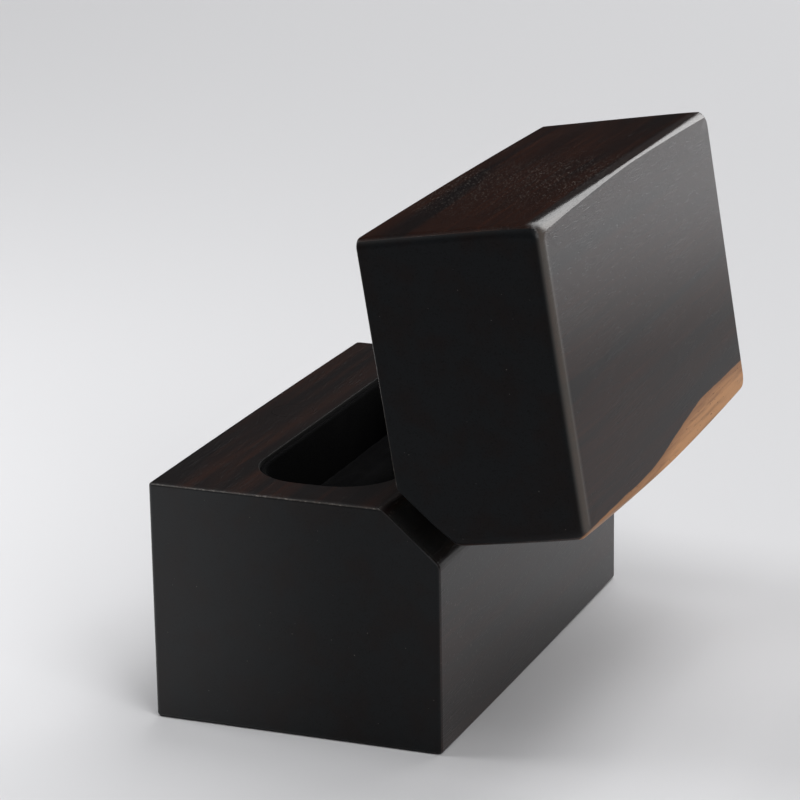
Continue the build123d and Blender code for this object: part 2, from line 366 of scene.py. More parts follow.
def arris_dust_and_highlight(tree, here, place, half):
    """A pale line along the edges of the mating face: a faint painted highlight, with crumbs of sanding dust
    on it.
    """
    low, high = BLOCKS[half]
    axes = add_node(tree, "SeparateXYZ", (here,)).outputs
    from_middle = add_node(tree, "Math", (axes["X"],), operation="ABSOLUTE")
    past_end = add_node(tree, "Math", (from_middle, high.x), operation="SUBTRACT")
    past_front = add_node(tree, "Math", (low.y, axes["Y"]), operation="SUBTRACT")
    past_side = add_node(tree, "Math", (past_end, past_front), operation="MAXIMUM")
    past_corner = add_node(tree, "Math", (past_side, axes["Z"]), operation="ADD")
    span = [high.z - depth for depth in ARRIS]
    arris = add_node(tree, "MapRange", (past_corner, *span), **SOFT)
    crumbs = grains(tree, place, 0.3, 0.3, (0.52, 0.72), detail=2.0)
    highlight_and_crumbs = add_node(tree, "Math", (crumbs, CRUMBS_MORE, ARRIS_HIGHLIGHT_LEAST), operation="MULTIPLY_ADD")
    return add_node(tree, "Math", (arris, highlight_and_crumbs), operation="MULTIPLY")


# Where the dusty pores lie: on the base from here to the chamfer, and on the lid in a patch round this place
# along the box, which fades over these distances from it.
BASE_DUST = (5.5, 8.5, 0.0, 0.22)
LID_DUST_PLACE = -7.0
LID_DUST = (4.0, 14.0, 0.42, 0.05)


def pore_dust(tree, here, place, half):
    """Specks of pale dust in the pores: on the base by its chamfer, on the lid's front face in patches."""
    low, high = BLOCKS[half]
    axes = add_node(tree, "SeparateXYZ", (here,)).outputs
    if half == "base":
        specks = grains(tree, place, 0.3, 0.25, (0.66, 0.74), detail=1.0)
        dusty = add_node(tree, "MapRange", (axes["Y"], *BASE_DUST), **SOFT)
    else:
        specks = grains(tree, place, 0.3, 0.18, (0.64, 0.7), detail=1.0)
        past_patch = add_node(tree, "Math", (axes["X"], LID_DUST_PLACE), operation="SUBTRACT")
        off_patch = add_node(tree, "Math", (past_patch,), operation="ABSOLUTE")
        patch = add_node(tree, "MapRange", (off_patch, *LID_DUST), **SOFT)
        off_outer = add_node(tree, "MapRange", (axes["Z"], low.z + 0.2, low.z + 0.5), **SOFT)
        on_front = add_node(tree, "MapRange", (axes["Y"], low.y + 0.8, low.y + 0.4), **SOFT)
        dusty = add_node(tree, "Math", (patch, off_outer), operation="MULTIPLY")
        dusty = add_node(tree, "Math", (dusty, on_front), operation="MULTIPLY")
    return add_node(tree, "Math", (specks, dusty), operation="MULTIPLY")


# The painted highlight on the lid's rounded edges reaches this far in from the edges at the near end, and
# dies out this far short of the middle of the lid. It is narrower by this factor down the sides, and is
# strongest this far inside its border.
EDGE_HIGHLIGHT_REACH = 1.7
EDGE_HIGHLIGHT_SHORT = 6.0
EDGE_HIGHLIGHT_NARROWS = 2.4
EDGE_HIGHLIGHT_MOST = 0.36
EDGE_HIGHLIGHT_FADE = 1.2


def painted_edge_highlight(tree, here):
    """A pale highlight painted on the lid's rounded outer edges by its near front corner."""
    low, high = BLOCKS["lid"]
    axes = add_node(tree, "SeparateXYZ", (here,)).outputs
    off_end = add_node(tree, "Math", (axes["X"], low.x), operation="SUBTRACT")
    off_front = add_node(tree, "Math", (axes["Y"], low.y), operation="SUBTRACT")
    off_outer = add_node(tree, "Math", (axes["Z"], low.z), operation="SUBTRACT")
    off_side = add_node(tree, "Math", (off_end, off_front), operation="MINIMUM")
    narrower = add_node(tree, "Math", (off_outer, EDGE_HIGHLIGHT_NARROWS), operation="MULTIPLY")
    off_edge = add_node(tree, "Math", (off_side, narrower), operation="MAXIMUM")
    reach = add_node(tree, "MapRange", (off_end, high.x - EDGE_HIGHLIGHT_SHORT, 1.0, -0.1, EDGE_HIGHLIGHT_REACH))
    past = add_node(tree, "Math", (reach, off_edge), operation="SUBTRACT")
    return add_node(tree, "MapRange", (past, 0.0, EDGE_HIGHLIGHT_FADE, 0.0, EDGE_HIGHLIGHT_MOST), **SOFT)


# Shade is painted on the chamfer and the cavity's rim. The chamfer is what lies behind and above these
# depths, taken from the block's back and its mating face. The rim is what lies this far outside the wall
# lining or less, and this deep under the mating face.
CHAMFER_BACK = (5.2, 4.6)
CHAMFER_TOP = (4.4, 3.8)
RIM_WIDTH = (0.6, 0.3)
RIM_SUNK = (0.004, 0.02)


def painted_shade_share(tree, here, half):
    """Where shade is painted on a half: its chamfer in the gap between the halves and its cavity's rim,
    coloured dead black and made rougher.
    """
    low, high = BLOCKS[half]
    middle_y = (WALLS[half][0].y + WALLS[half][1].y) / 2
    axes = add_node(tree, "SeparateXYZ", (here,)).outputs
    back = [high.y - depth for depth in CHAMFER_BACK]
    behind = add_node(tree, "MapRange", (axes["Y"], *back), **SOFT)
    top = [high.z - depth for depth in CHAMFER_TOP]
    above = add_node(tree, "MapRange", (axes["Z"], *top), **SOFT)
    chamfer = add_node(tree, "Math", (behind, above), operation="MULTIPLY")
    from_middle = add_node(tree, "VectorMath", (here, (0, -middle_y, 0)), operation="ADD")
    sides = add_node(tree, "VectorMath", (from_middle,), operation="ABSOLUTE")
    walls = (WALLS[half][1].x, WALLS[half][1].y - middle_y, 0)
    past_walls = add_node(tree, "VectorMath", (sides, walls), operation="SUBTRACT")
    past = add_node(tree, "SeparateXYZ", (past_walls,)).outputs
    outside = add_node(tree, "Math", (past["X"], past["Y"]), operation="MAXIMUM")
    inside = add_node(tree, "MapRange", (outside, *RIM_WIDTH), **SOFT)
    sinking = [high.z - depth for depth in RIM_SUNK]
    sunk = add_node(tree, "MapRange", (axes["Z"], *sinking), **SOFT)
    sunk = add_node(tree, "Math", (sunk, above), operation="MULTIPLY")
    rim = add_node(tree, "Math", (inside, sunk), operation="MULTIPLY")
    return add_node(tree, "Math", (chamfer, rim), operation="MAXIMUM")


def long_grain(half, colours):
    """Ebony sanded along the grain and oiled: nearly black, with brown and red streaks and a satin sheen."""
    material, tree = new_material("ebony_sanded_along_the_grain_" + half)
    here = millimetres(tree, half)
    place = add_node(tree, "VectorMath", (here, FIGURE_OFFSETS[half]), operation="ADD")
    broad = grains(tree, place, 60.0, 2.6, detail=4.0, bend=0.4)
    brown = add_node(tree, "MapRange", (broad, *BROWN_MARKS[half]), **SOFT)
    red = grains(tree, place, 26.0, 0.45, (0.5, 0.75))
    red = add_node(tree, "Math", (red, brown), operation="MULTIPLY")
    fibres = grains(tree, place, 5.0, 0.14, (0.48, 0.8), detail=2.0)
    pores = grains(tree, place, 1.1, 0.13, (0.66, 0.74), detail=1.0)
    stains = [(brown, colours.brown), (red, colours.red), (fibres, colours.heart), (pores, colours.pore_and_shade)]
    # Dust in the pores, and along the mating face's edges a painted highlight line with crumbs of dust.
    stains += [(dust_and_highlight(tree, here, place, half), colours.dust_and_highlight) for dust_and_highlight in (arris_dust_and_highlight, pore_dust)]
    wood = stained(tree, colours.heart, *stains)
    if half == "lid":
        # A pale highlight is painted on the lid's rounded edges by its near front corner.
        wood = stained(tree, wood, (painted_edge_highlight(tree, here), colours.dust_and_highlight))
        wood = with_sapwood(tree, wood, here, place, colours)
    # The chamfers and the cavity's rim get painted shade: dead black colour, and more roughness.
    painted_shade = painted_shade_share(tree, here, half)
    wood = stained(tree, wood, (painted_shade, colours.pore_and_shade))

    sanding = grains(tree, place, 1.6, 0.07, detail=2.0)
    scratches = grains(tree, place, 2.6, 0.16, (0.45, 0.7), detail=1.0)
    scratched = grains(tree, place, 9.0, 5.0, (0.46, 0.6))
    marks = add_node(tree, "Math", (scratches, scratched), operation="MULTIPLY")
    marks = add_node(tree, "Math", (sanding, 0.35, marks), operation="MULTIPLY_ADD")
    height = add_node(tree, "Math", (marks, pores), operation="SUBTRACT")
    bump = add_node(tree, "Bump", {"Height": height, "Strength": RELIEF[half], "Distance": 0.025 * MM})
    gloss = add_node(tree, "MapRange", (broad, 0.0, 1.0, 0.36, 0.42))
    surface = add_node(
        tree,
        "BsdfPrincipled",
        {
            "Base Color": wood,
            "Roughness": add_node(tree, "Math", (painted_shade, 0.4, gloss), operation="MULTIPLY_ADD"),
            "Specular IOR Level": LONG_GRAIN_SPECULAR[half],
            "Coat Weight": rubbed_share(tree, here, half),
            "Coat Roughness": 0.3,
            "Coat Normal": bump,
            "Normal": bump,
        },
    )
    add_node(tree, "OutputMaterial", (surface,))
    return material


# The base's ends shine towards their front, between these places. The lid's shine by the outer face, at this
# least share away from the front.
BASE_END_SHINE = (8.0, -16.0, 0.0, 0.6)
LID_END_SHINE = 0.5


def end_grain(half, colours):
    """Ebony sawn across the grain and sanded: an even blue-black, dull, with pores as fine dots."""
    material, tree = new_material("ebony_sanded_end_grain_" + half)
    here = millimetres(tree, half)
    place = add_node(tree, "VectorMath", (here, FIGURE_OFFSETS[half]), operation="ADD")
    bands = grains(tree, place, 3.0, 3.0, (0.4, 0.7), detail=4.0)
    pores = grains(tree, place, 0.14, 0.14, (0.62, 0.72), detail=0.0)
    specks = grains(tree, place, 0.22, 0.22, (0.88, 0.9), detail=0.0)
    faint_pores = add_node(tree, "Math", (pores, 0.5), operation="MULTIPLY")
    faint_specks = add_node(tree, "Math", (specks, 0.3), operation="MULTIPLY")
    # A painted highlight line with crumbs of dust along the mating face's edges.
    dust_and_highlight = arris_dust_and_highlight(tree, here, place, half)
    stains = [(bands, colours.heart), (faint_pores, colours.pore_and_shade)]
    stains += [(faint_specks, colours.dust_and_highlight), (dust_and_highlight, colours.dust_and_highlight)]
    wood = stained(tree, colours.end, *stains)
    if half == "lid":
        # A pale highlight is painted on the lid's rounded edges by its near front corner.
        wood = stained(tree, wood, (painted_edge_highlight(tree, here), colours.dust_and_highlight))
        wood = with_sapwood(tree, wood, here, place, colours)
    bump = add_node(tree, "Bump", {"Height": pores, "Strength": 0.2, "Distance": 0.02 * MM}, invert=True)
    inputs = {
        "Base Color": wood,
        "Roughness": 0.5,
        "Specular IOR Level": END_GRAIN_SPECULAR[half],
        "Coat Roughness": END_COAT_ROUGHNESS[half],
        "Normal": bump,
    }
    axes = add_node(tree, "SeparateXYZ", (here,)).outputs
    if half == "base":
        inputs["Coat Weight"] = add_node(tree, "MapRange", (axes["Y"], *BASE_END_SHINE), **SOFT)
    else:
        low = BLOCKS["lid"][0]
        by_outer = add_node(tree, "MapRange", (axes["Z"], low.z + 0.8, low.z + 0.2), **SOFT)
        by_front = (axes["Y"], low.y + 1.8, low.y + 0.8, LID_END_SHINE, 1.0)
        by_front = add_node(tree, "MapRange", by_front, **SOFT)
        inputs["Coat Weight"] = add_node(tree, "Math", (by_outer, by_front), operation="MULTIPLY")
    add_node(tree, "OutputMaterial", (add_node(tree, "BsdfPrincipled", inputs),))
    return material


def pile(name, ground, tips, sheen, fibre, roughness):
    """Short upright fibres: nearly black from above, with a soft sheen at a low angle and uneven nap."""
    material, tree = new_material(name)
    place = millimetres(tree)
    nap = grains(tree, place, 3.5, 3.5, (0.42, 0.68), detail=2.0)
    fibres = grains(tree, place, fibre, fibre, detail=1.0)
    raised = add_node(tree, "MapRange", (fibres, 0.55, 0.8), **SOFT)
    surface = add_node(
        tree,
        "BsdfPrincipled",
        {
            "Base Color": stained(tree, ground, (nap, tips), (raised, tips)),
            "Roughness": roughness,
            "Specular IOR Level": 0.05,
            "Sheen Weight": 0.08,
            "Sheen Roughness": 0.45,
            "Sheen Tint": sheen,
            "Normal": add_node(tree, "Bump", {"Height": fibres, "Strength": 0.8, "Distance": 0.08 * MM}),
        },
    )
    add_node(tree, "OutputMaterial", (surface,))
    return material


def metal(name, bright, dull, roughness, brushed):
    """Plain metal: bright where it is rubbed, duller in patches, with fine lines across it."""
    material, tree = new_material(name)
    place = millimetres(tree)
    patches = grains(tree, place, 2.2, 1.4, detail=4.0)
    worn = add_node(tree, "MapRange", (patches, 0.42, 0.75), **SOFT)
    lines = grains(tree, place, brushed, 0.07, detail=2.0)
    surface = add_node(
        tree,
        "BsdfPrincipled",
        {
            "Base Color": stained(tree, bright, (worn, dull)),
            "Metallic": 1.0,
            "Roughness": add_node(tree, "MapRange", (patches, 0.0, 1.0, roughness * 0.7, roughness * 1.5)),
            "Normal": add_node(tree, "Bump", {"Height": lines, "Strength": 0.25, "Distance": 0.01 * MM}),
        },
    )
    add_node(tree, "OutputMaterial", (surface,))
    return material


def inset(depth, radius, roundness=QUARTER_CIRCLE):
    """How far a rounded edge has drawn a face back, at that depth under the edge's corner."""
    if depth >= radius:
        return 0.0
    return radius * (1 - (1 - (1 - depth / radius) ** roundness) ** (1 / roundness))


def rounding_depths(radius):
    """Depths under an edge's corner, closer together where the rounding turns fastest."""
    return [radius * (1 - math.cos(math.pi / 2 * step / EDGE_STEPS)) for step in range(EDGE_STEPS + 1)]


def outline(half_x, low_y, high_y, radius, front_radius=None):
    """Points round a rounded rectangle, anticlockwise, each with its outward direction."""
    front = radius if front_radius is None else front_radius
    corners = ((1, high_y, radius), (-1, high_y, radius), (-1, low_y, front), (1, low_y, front))
    arcs = []
    for turn, (side, edge_y, r) in enumerate(corners):
        centre = Vector((side * (half_x - r), edge_y - r if edge_y == high_y else edge_y + r))
        angles = [math.pi / 2 * (turn + step / CORNER_STEPS) for step in range(CORNER_STEPS + 1)]
        ways = [Vector((math.cos(a), math.sin(a))) for a in angles]
        arcs.append([(centre + r * way, way) for way in ways])
    points = []
    for number, arc in enumerate(arcs):
        start, way = arc[-1]
        end = arcs[(number + 1) % 4][0][0]
        steps = SHORT_STEPS if number % 2 else LONG_STEPS
        points += arc + [(start.lerp(end, step / steps), way) for step in range(1, steps)]
    return points


def level(points, z):
    """The points of an outline at one height."""
    return [Vector((point.x, point.y, z)) for point, _ in points]


def loops_between(outer, inner, count):
    """Loops evenly spaced between two others, without the two themselves."""
    shares = [step / count for step in range(1, count)]
    return [[a.lerp(b, share) for a, b in zip(outer, inner)] for share in shares]


def shrunk(loop, share):
    """A loop drawn in towards its middle."""
    middle = sum(loop, Vector()) / len(loop)
    return [middle.lerp(point, share) for point in loop]


def skin(name, loops, half, closed=False):
    """A mesh in the row's metres, whose skin runs through the loops: capped at both ends, or closed on
    itself, and smooth all over."""
    size = len(loops[0])
    faces = []
    pairs = list(zip(range(len(loops)), range(1, len(loops))))
    if closed:
        pairs.append((len(loops) - 1, 0))
    for low, high in pairs:
        for i in range(size):
            j = (i + 1) % size
            faces.append((low * size + i, low * size + j, high * size + j, high * size + i))
    if not closed:
        faces.append(tuple(reversed(range(size))))
        faces.append(tuple(range((len(loops) - 1) * size, len(loops) * size)))
    mesh = bpy.data.meshes.new(name)
    to_row = HALVES[half]
    mesh.from_pydata([to_row @ (point * MM) for loop in loops for point in loop], [], faces)
    mesh.shade_smooth()
    return mesh


def add_piece(name, mesh, half, node, materials):
    """Puts a piece in place of its CAD node, riding on its half of the box."""
    piece = bpy.data.objects.new(name, mesh)
    bpy.context.scene.collection.objects.link(piece)
    for material in materials:
        mesh.materials.append(material)
    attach(piece, half)
    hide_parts(node)
    return piece


def flatten_faces(piece):
    """Keeps flat faces flat in the shading, so that only the rounded edges turn the light."""
    piece.data.set_sharp_from_angle(angle=SHARP_ANGLE)
    piece.modifiers.new("flat_faces", "WEIGHTED_NORMAL").keep_sharp = True


def back_of_block(z, top, half_depth, sizes):
    """Where the back face lies at a height: upright, then chamfered, rounded at both bends."""
    radius, setback = sizes.chamfer_edge / MM, sizes.chamfer_setback / MM
    slope, rest = CHAMFER_ANGLE, math.pi / 2 - CHAMFER_ANGLE
    lower_bend = top - setback * math.tan(slope)
    lower_centre = Vector((half_depth - radius, lower_bend - radius * math.tan(rest / 2)))
    upper_centre = Vector((half_depth - setback - radius * math.tan(slope / 2), top - radius))
    if z <= lower_centre.y:
        return half_depth
    if z <= lower_centre.y + radius * math.sin(rest):
        return lower_centre.x + math.sqrt(radius ** 2 - (z - lower_centre.y) ** 2)
    if z <= upper_centre.y + radius * math.sin(rest):
        return half_depth - (z - lower_bend) / math.tan(slope)
    return upper_centre.x + math.sqrt(max(0.0, radius ** 2 - (z - upper_centre.y) ** 2))


def block_loops(half, sizes):
    """The loops of a wooden half, from the middle of its outer face round to the middle of its cavity's
    floor."""
    low, high = BLOCKS[half]
    bottom, top, half_x, half_y = low.z, high.z, high.x, high.y
    edge, mating = getattr(sizes, half + "_edge") / MM, sizes.mating_edge / MM
    near = middle = far = widest = edge
    long_roundness = QUARTER_CIRCLE
    if half == "lid":
        near, middle, far = sizes.lid_edge_near / MM, sizes.lid_edge_middle / MM, sizes.lid_edge_far / MM
        widest, long_roundness = sizes.lid_corner / MM, LID_LONG_EDGE_ROUNDNESS
    crown, drop = sizes.crown / MM, sizes.chamfer_setback / MM * math.tan(CHAMFER_ANGLE)

    def softened(point):
        """Sanding takes a little more off towards the ends, but leaves the base's underside flat."""
        share = (point.x / half_x) ** 2 * crown
        up = share * (top - point.z) / (top - bottom) if half == "lid" else 0.0
        return Vector((point.x, point.y * (1 - share / half_y), point.z + up))

    def outer_loop(z):
        """The block's outline at a height."""
        back = back_of_block(z, top, half_y, sizes)
        chamfered = min(1.0, (half_y - back) / (sizes.chamfer_setback / MM) * 3)
        corner = CORNER_WIDTH * (edge + (widest - edge) * math.exp((bottom - z) / widest))
        back_corner = corner * (1 - CHAMFERED_CORNER * chamfered)
        loop = []
        for point, way in outline(half_x, low.y, back, back_corner, corner):
            end = near if point.x < 0 else far
            along = middle + (end - middle) * abs(point.x / half_x) ** 1.5
            radius = edge + (along - edge) * way.y ** 2
            roundness = QUARTER_CIRCLE + (long_roundness - QUARTER_CIRCLE) * way.y ** 2
            drawn = inset(z - bottom, radius, roundness) + inset(top - z, mating) * (1 - max(0.0, way.y))
            place = point - way * drawn
            loop.append(Vector((place.x, place.y, z)))
        return loop

    # The loops lie close together where the outline turns, with a few between.
    heights = {bottom + depth for radius in (near, middle) for depth in rounding_depths(radius)}
    heights |= {top - depth for depth in rounding_depths(mating)}
    bend = sizes.chamfer_edge / MM
    heights |= {top - drop + bend * (step / EDGE_STEPS - 0.5) for step in range(EDGE_STEPS + 1)}
    heights |= {top - bend * step / EDGE_STEPS / 3 for step in range(EDGE_STEPS + 1)}
    heights |= {bottom + (top - drop - bottom) * share for share in (0.15, 0.3, 0.45, 0.6, 0.75)}
    heights |= {top - drop * share for share in (0.2, 0.4, 0.6, 0.8)}
    outside = [outer_loop(z) for z in sorted(heights)]

    wall_low, wall_high = WALLS[half]
    gap, rim, corner = sizes.glue_gap / MM, sizes.rim / MM, sizes.cavity_corner / MM

    def cavity_loop(z):
        """The cavity's outline at a height, opened out at its rim."""
        out = inset(top - z, rim)
        edges = (wall_high.x + gap + out, wall_low.y - gap - out, wall_high.y + gap + out)
        return level(outline(*edges, corner + out), z)

    inside = [cavity_loop(top - depth) for depth in rounding_depths(rim)]
    inside += [cavity_loop(FLOORS[half][0].z)]
    outer_face = shrunk(outside[0], 0.04)
    under = [outer_face] + loops_between(outer_face, outside[0], FACE_LOOPS)
    shell = [[softened(point) for point in loop] for loop in under + outside]
    mating_face = loops_between(shell[-1], inside[0], FACE_LOOPS)
    floor_middle = shrunk(inside[-1], 0.1)
    cavity_floor = loops_between(inside[-1], floor_middle, FLOOR_LOOPS) + [floor_middle]
    return shell + mating_face + inside + cavity_floor


def cut_hole(piece, half, radius, depth):
    """Bores the hole for the magnet and its plug into a block."""
    low, high = PLUGS[half]
    centre = (low + high) / 2
    cutter = bmesh.new()
    place = HALVES[half] @ Matrix.Translation(Vector((centre.x, centre.y, high.z)) * MM)
    bmesh.ops.create_cone(
        cutter, cap_ends=True, segments=64, radius1=radius, radius2=radius, depth=2 * depth, matrix=place
    )
    mesh = bpy.data.meshes.new("bore")
    cutter.to_mesh(mesh)
    cutter.free()
    tool = bpy.data.objects.new("bore", mesh)
    bpy.context.scene.collection.objects.link(tool)
    modifier = piece.modifiers.new("bore", "BOOLEAN")
    modifier.operation, modifier.solver, modifier.object = "DIFFERENCE", "EXACT", tool
    bored = bpy.data.meshes.new_from_object(piece.evaluated_get(bpy.context.evaluated_depsgraph_get()))
    piece.modifiers.clear()
    piece.data = bored
    bpy.data.objects.remove(tool)


class EBONYBOX_OT_blocks(bpy.types.Operator):
    """Builds the two ebony blocks with their chamfers, soft edges and cavities"""

    bl_idname = "ebony_box.blocks"
    bl_label = "Ebony blocks"

    def execute(self, context):
        sizes, colours = context.scene.ebony_sizes, context.scene.ebony_colours
        for half in HALVES:
            name = half + "_block"
            mesh = skin(name + "_sanded", block_loops(half, sizes), half)
            materials = [long_grain(half, colours), end_grain(half, colours)]
            piece = add_piece(name + "_sanded", mesh, half, name, materials)
            hole_radius = (PLUGS[half][1].x + HOLE_FIT) * MM
            magnet_low = half_box(half + "_magnet", half)[0]
            cut_hole(piece, half, hole_radius, (BLOCKS[half][1].z - magnet_low.z) * MM)
            cavity_x = WALLS[half][1].x * MM
            to_half = HALVES[half].inverted().to_3x3()
            for face in piece.data.polygons:
                way = to_half @ face.normal
                endways = abs(way.x) > abs(way.y) and abs(way.z) < way.xy.length
                face.material_index = int(endways and abs(face.center.x) > cavity_x + MM)
            flatten_faces(piece)
        return {"FINISHED"}


class EBONYBOX_OT_magnets(bpy.types.Operator):
    """Finishes the magnets and the ebony plugs that hide them"""

    bl_idname = "ebony_box.magnets"
    bl_label = "Magnets and plugs"

    def execute(self, context):
        colours = context.scene.ebony_metals
        plate = metal("nickel_plated_neodymium", colours.nickel, colours.nickel, 0.25, 0.6)
        for half in HALVES:
            plug, magnet = (frame["nodes"][half + end] for end in ("_magnet_plug", "_magnet"))
            grain = bpy.data.materials["ebony_sanded_along_the_grain_" + half]
            for node, material in ((plug, grain), (magnet, plate)):
                node.data.materials.clear()
                node.data.materials.append(material)
        return {"FINISHED"}


def ruffled(loops, amount, size):
    """Loops with a little unevenness, as of cloth glued by hand, in millimetres."""
    noise.seed_set(UNEVENNESS_SEED)
    moved = []
    for loop in loops:
        moved.append([point + noise.noise_vector(point / size) * amount for point in loop])
    return moved


def floor_lining_loops(half, sizes, soft):
    """A flat piece of velvet with a soft cut edge."""
    low, high = FLOORS[half]
    corner, lip = (sizes.cavity_corner - sizes.glue_gap) / MM, soft.lip / MM

    def loop(z):
        drawn = inset(high.z - z, lip)
        return level(outline(high.x - drawn, low.y + drawn, high.y - drawn, corner - drawn), z)

    sides = [loop(low.z)] + [loop(high.z - depth) for depth in reversed(rounding_depths(lip))]
    under, over = shrunk(sides[0], 0.1), shrunk(sides[-1], 0.05)
    return [under] + sides + loops_between(sides[-1], over, FACE_LOOPS * 2) + [over]


def wall_lining_loops(half, sizes, soft):
    """A strip of velvet round the cavity's wall, with a soft upper edge and a seam where its ends meet."""
    low, high = WALLS[half]
    thickness = FLOORS[half][1].z - FLOORS[half][0].z
    corner, lip = (sizes.cavity_corner - sizes.glue_gap) / MM, soft.lip / MM
    seam = soft.seam / MM

    def loop(z, drawn, facing_in):
        points = []
        for point, way in outline(high.x - drawn, low.y + drawn, high.y - drawn, corner - drawn):
            sewn = point.y > 0 and facing_in
            at_seam = math.exp(-((point.x - SEAM_PLACE) / seam) ** 2) if sewn else 0.0
            place = point + way * SEAM_DEPTH * at_seam
            points.append(Vector((place.x, place.y, z)))
        return points

    depths = rounding_depths(lip)
    outside = [loop(low.z, 0.0, False)]
    outside += [loop(high.z - depth, inset(depth, lip), False) for depth in reversed(depths)]
    over = [loop(high.z - depth, thickness - inset(depth, lip), True) for depth in depths]
    steps = range(1, LINING_STEPS + 1)
    heights = [high.z - lip + (low.z - high.z + lip) * step / LINING_STEPS for step in steps]
    return outside + over + [loop(z, thickness, True) for z in heights]


class EBONYBOX_OT_linings(bpy.types.Operator):
    """Lines both cavities with black velvet"""

    bl_idname = "ebony_box.linings"
    bl_label = "Velvet linings"

    def execute(self, context):
        sizes, soft = context.scene.ebony_sizes, context.scene.ebony_soft
        colours = (soft.velvet, soft.velvet_tips, soft.velvet_sheen)
        velvet = pile("cotton_velvet_glued_down", *colours, 0.12, 0.95)
        for half in HALVES:
            low, high = WALLS[half]
            flat_floor = ((high.x - low.x) * MM, (high.y - low.y) * MM)
            bend = (8 - 2 * math.pi) * sizes.cavity_corner
            flat_wall = (2 * sum(flat_floor) - bend, (high.z - low.z) * MM)
            makers = (
                ("_floor_lining", floor_lining_loops, flat_floor),
                ("_wall_lining", wall_lining_loops, flat_wall),
            )
            for end, maker, flat in makers:
                loops = ruffled(maker(half, sizes, soft), *VELVET_UNEVENNESS)
                mesh = skin(half + end + "_velvet", loops, half, closed=end == "_wall_lining")
                piece = add_piece(half + end + "_velvet", mesh, half, half + end, [velvet])
        return {"FINISHED"}


def pad_loops(side, node, sizes, soft):
    """Half of the foam pad: a soft bar with a crowned top, bulging into the slit on its inner side."""
    low, high = half_box(node, "base")
    crown, swell = soft.pad_crown / MM, soft.pad_swell / MM
    wall_low, wall_high = WALLS["base"]
    wall_corner = sizes.cavity_corner / MM - (wall_high.y - high.y if side > 0 else low.y - wall_low.y)
    middle_z, half_height = (low.z + high.z) / 2, (high.z - low.z) / 2

    def loop(z):
        drawn = inset(high.z - z, crown)
        slit_corner = max(0.1, SLIT_EDGE - drawn)
        corner = min(wall_corner - drawn, high.y - low.y - 2 * drawn - slit_corner)
        radii = (corner, slit_corner) if side > 0 else (slit_corner, corner)
        points = []
        for point, way in outline(high.x - drawn, low.y + drawn, high.y - drawn, *radii):
            belly = max(0.0, 1 - ((z - middle_z) / half_height) ** 2) * max(0.0, 1 - (point.x / high.x) ** 4)
            inner = max(0.0, -side * way.y)
            place = point + way * swell * belly * inner
            dip = DIP_DEPTH * math.exp(-((point.x / DIP_HALF_LENGTH) ** 2))
            dip *= (1 - abs(way.x)) * drawn / crown
            points.append(Vector((place.x, place.y, z - dip)))
        return points

    body = [loop(low.z + (high.z - crown - low.z) * step / PAD_STEPS) for step in range(PAD_STEPS + 1)]
    top = [loop(high.z - depth) for depth in reversed(rounding_depths(crown))][1:]
    over, under = shrunk(top[-1], 0.1), shrunk(body[0], 0.1)
    return [under] + body + top + loops_between(top[-1], over, FACE_LOOPS) + [over]


class EBONYBOX_OT_pads(bpy.types.Operator):
    """Fills the base's cavity with the two halves of a flocked foam pad"""

    bl_idname = "ebony_box.pads"
    bl_label = "Slotted pad"

    def execute(self, context):
        sizes, soft = context.scene.ebony_sizes, context.scene.ebony_soft
        colours = (soft.flock, soft.flock_tips, soft.velvet_sheen)
        flock = pile("flocked_polyurethane_foam", *colours, 0.16, 1.0)
        for end, side in (("front", -1), ("back", 1)):
            node = "ring_pad_" + end
            loops = ruffled(pad_loops(side, node, sizes, soft), *FOAM_UNEVENNESS)
            piece = add_piece("slot_pad_" + end, skin(node, loops, "base"), "base", node, [flock])
        return {"FINISHED"}


class EBONYBOX_OT_hinges(bpy.types.Operator):
    """Finishes the butt hinges, their pins and their nails"""

    bl_idname = "ebony_box.hinges"
    bl_label = "Hinges and nails"

    def execute(self, context):
        colours = context.scene.ebony_metals
        leaf = metal("brass_stamped_and_tumbled", colours.brass, colours.brass_dull, 0.3, 3.0)
        turned = metal("brass_drawn_and_headed", colours.brass, colours.brass_dull, 0.22, 0.3)
        for name, node in frame["nodes"].items():
            if "_hinge_" in name:
                node.data.materials.clear()
                node.data.materials.append(leaf if name.endswith("_leaf") else turned)
        return {"FINISHED"}


def add_lamp(name, place, size, power, aim=(0, 0, 0.02)):
    """A softbox of that width and height in metres and that power in watts, turned to the box."""
    lamp = bpy.data.lights.new(name, "AREA")
    lamp.shape, lamp.energy = "RECTANGLE", power
    lamp.size, lamp.size_y = size
    lamp_object = bpy.data.objects.new(name, lamp)
    lamp_object.location = place
    lamp_object.rotation_euler = (Vector(aim) - Vector(place)).to_track_quat("-Z", "Y").to_euler()
    bpy.context.scene.collection.objects.link(lamp_object)


def paper(tint):
    """Matt card: one flat pale tone."""
    material, tree = new_material("matt_card")
    inputs = {"Base Color": tint, "Roughness": 0.9, "Specular IOR Level": 0.2}
    add_node(tree, "OutputMaterial", (add_node(tree, "BsdfPrincipled", inputs),))
    return material


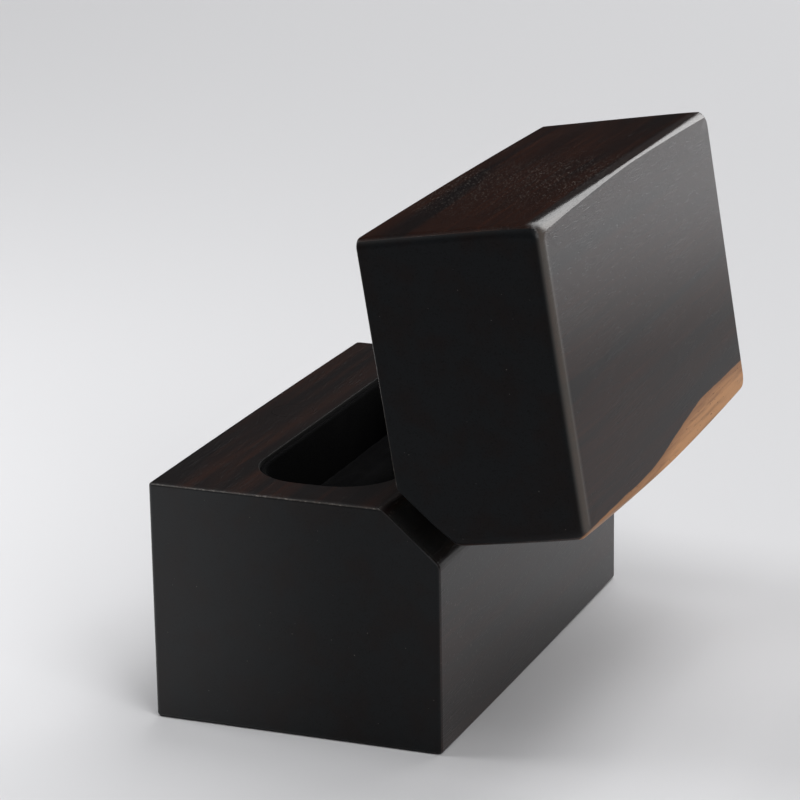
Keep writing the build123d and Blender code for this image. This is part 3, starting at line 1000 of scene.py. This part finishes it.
class EBONYBOX_OT_stage(bpy.types.Operator):
    """Sets the floor, the lamps, the light from all round and the camera"""

    bl_idname = "ebony_box.stage"
    bl_label = "Studio"

    def execute(self, context):
        scene, studio = context.scene, context.scene.ebony_studio
        signs = ((-1, -1), (1, -1), (1, 1), (-1, 1))
        corners = [(x * FLOOR_REACH, y * FLOOR_REACH, 0) for x, y in signs]
        sheet = bpy.data.meshes.new("floor")
        sheet.from_pydata(corners, [], [(0, 1, 2, 3)])
        sheet.materials.append(paper(studio.floor))
        floor = bpy.data.objects.new("floor", sheet)
        scene.collection.objects.link(floor)

        add_lamp("top_softbox", (0.3, 0.7, 1.7), (1.2, 1.2), 9.1)
        add_lamp("right_softbox", (1.0, 1.4, 1.2), (1.0, 1.0), 12.2)
        add_lamp("back_softbox", (-0.9, 0.1, 1.7), (1.2, 1.2), 14.3)
        add_lamp("window", (-1.32, 0.42, 0.62), (0.9, 1.15), 9.0)
        add_lamp("left_fill", (0.04, -0.16, 0.18), (0.1, 0.1), 0.27, aim=(0.04, -0.16, 0))

        world = bpy.data.worlds.new("surround")
        world.use_nodes = True
        world.node_tree.nodes["Background"].inputs["Color"].default_value = studio.surround
        scene.world = world
        scene.view_settings.view_transform = "Standard"

        turn, rise = studio.azimuth, studio.elevation
        back = Vector((math.sin(turn) * math.cos(rise), -math.cos(turn) * math.cos(rise), math.sin(rise)))
        right = Vector((0, 0, 1)).cross(back).normalized()
        up = back.cross(right)
        lean, sway = math.cos(studio.roll), math.sin(studio.roll)
        right, up = lean * right + sway * up, lean * up - sway * right
        place = Vector((0, 0, studio.aim_height)) + back * studio.distance
        place += right * studio.pan_right + up * studio.pan_up
        camera = bpy.data.cameras.new("camera")
        camera.lens, camera.sensor_width, camera.sensor_fit = studio.lens, FILM_WIDTH, "HORIZONTAL"
        camera.clip_start = 0.01
        camera_object = bpy.data.objects.new("camera", camera)
        turned = Matrix((right, up, back)).transposed().to_4x4()
        camera_object.matrix_world = Matrix.Translation(place) @ turned
        scene.collection.objects.link(camera_object)
        scene.camera = camera_object
        return {"FINISHED"}


OPERATORS = (
    EBONYBOX_OT_blocks,
    EBONYBOX_OT_magnets,
    EBONYBOX_OT_linings,
    EBONYBOX_OT_pads,
    EBONYBOX_OT_hinges,
    EBONYBOX_OT_stage,
)
GROUPS = {
    "ebony_sizes": WoodSizes,
    "ebony_colours": WoodColours,
    "ebony_soft": SoftLook,
    "ebony_metals": MetalColours,
    "ebony_studio": StudioSettings,
}


class EBONYBOX_PT_panel(bpy.types.Panel):
    """Lists the box's pieces and their settings"""

    bl_label = "Ebony Box"
    bl_space_type = "VIEW_3D"
    bl_region_type = "UI"
    bl_category = "Ebony Box"

    def draw(self, context):
        for operator in OPERATORS:
            self.layout.operator(operator.bl_idname)
        for group in GROUPS:
            settings = getattr(context.scene, group)
            for name in settings.__annotations__:
                self.layout.prop(settings, name)


def register():
    for kind in (*GROUPS.values(), *OPERATORS, EBONYBOX_PT_panel):
        bpy.utils.register_class(kind)
    for name, group in GROUPS.items():
        setattr(bpy.types.Scene, name, PointerProperty(type=group))


def unregister():
    for name in GROUPS:
        delattr(bpy.types.Scene, name)
    for kind in (EBONYBOX_PT_panel, *OPERATORS, *GROUPS.values()):
        bpy.utils.unregister_class(kind)


def main():
    """Builds the whole scene."""
    register()
    bpy.ops.ebony_box.blocks()
    bpy.ops.ebony_box.magnets()
    bpy.ops.ebony_box.linings()
    bpy.ops.ebony_box.pads()
    bpy.ops.ebony_box.hinges()
    bpy.ops.ebony_box.stage()


if __name__ == "__main__":
    main()
